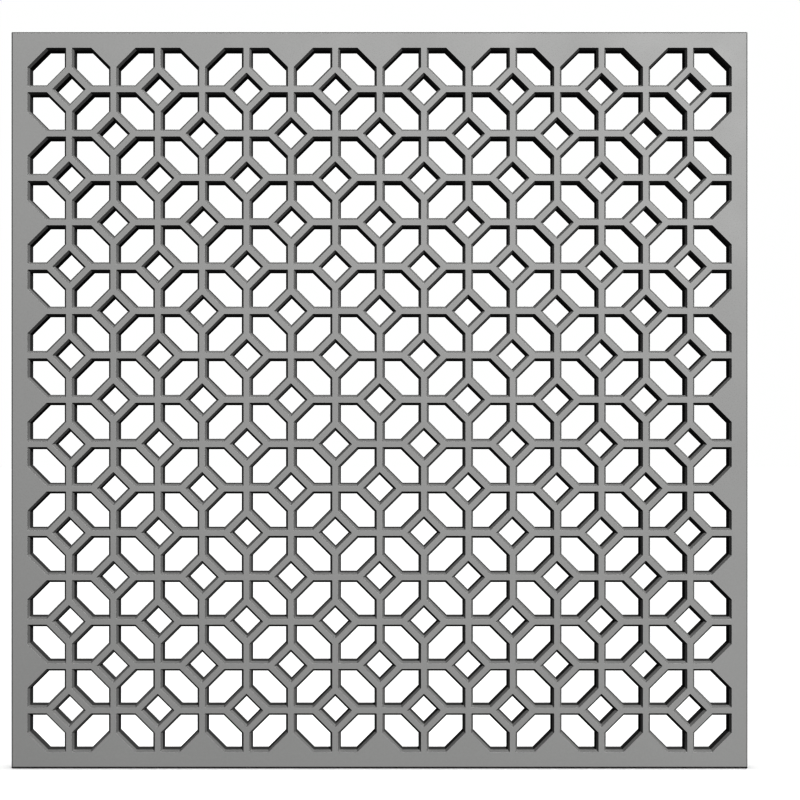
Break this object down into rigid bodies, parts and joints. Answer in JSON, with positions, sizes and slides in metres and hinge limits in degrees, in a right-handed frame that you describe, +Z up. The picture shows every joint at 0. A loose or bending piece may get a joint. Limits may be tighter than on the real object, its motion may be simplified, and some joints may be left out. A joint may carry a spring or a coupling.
{
  "type": "mashrabiya screen",
  "caption": "Square pierced lattice screen in the mashrabiya pattern of crossing bars and small ringed squares, chamfered on its face, to be set in a window or wall opening.",
  "frame": {"origin": "middle of the panel's bottom edge face, which stands in the frame or on the sill that holds the screen", "axes": "+X across the panel, +Y from its front to its back, +Z up; the chamfered front looks along -Y"},
  "size_m": [1, 0.018, 1],
  "materials": {
    "painted_board": "satin"
  },
  "bodies": {
    "root": {"screen_panel": "painted_board"}
  },
  "joints": []
}
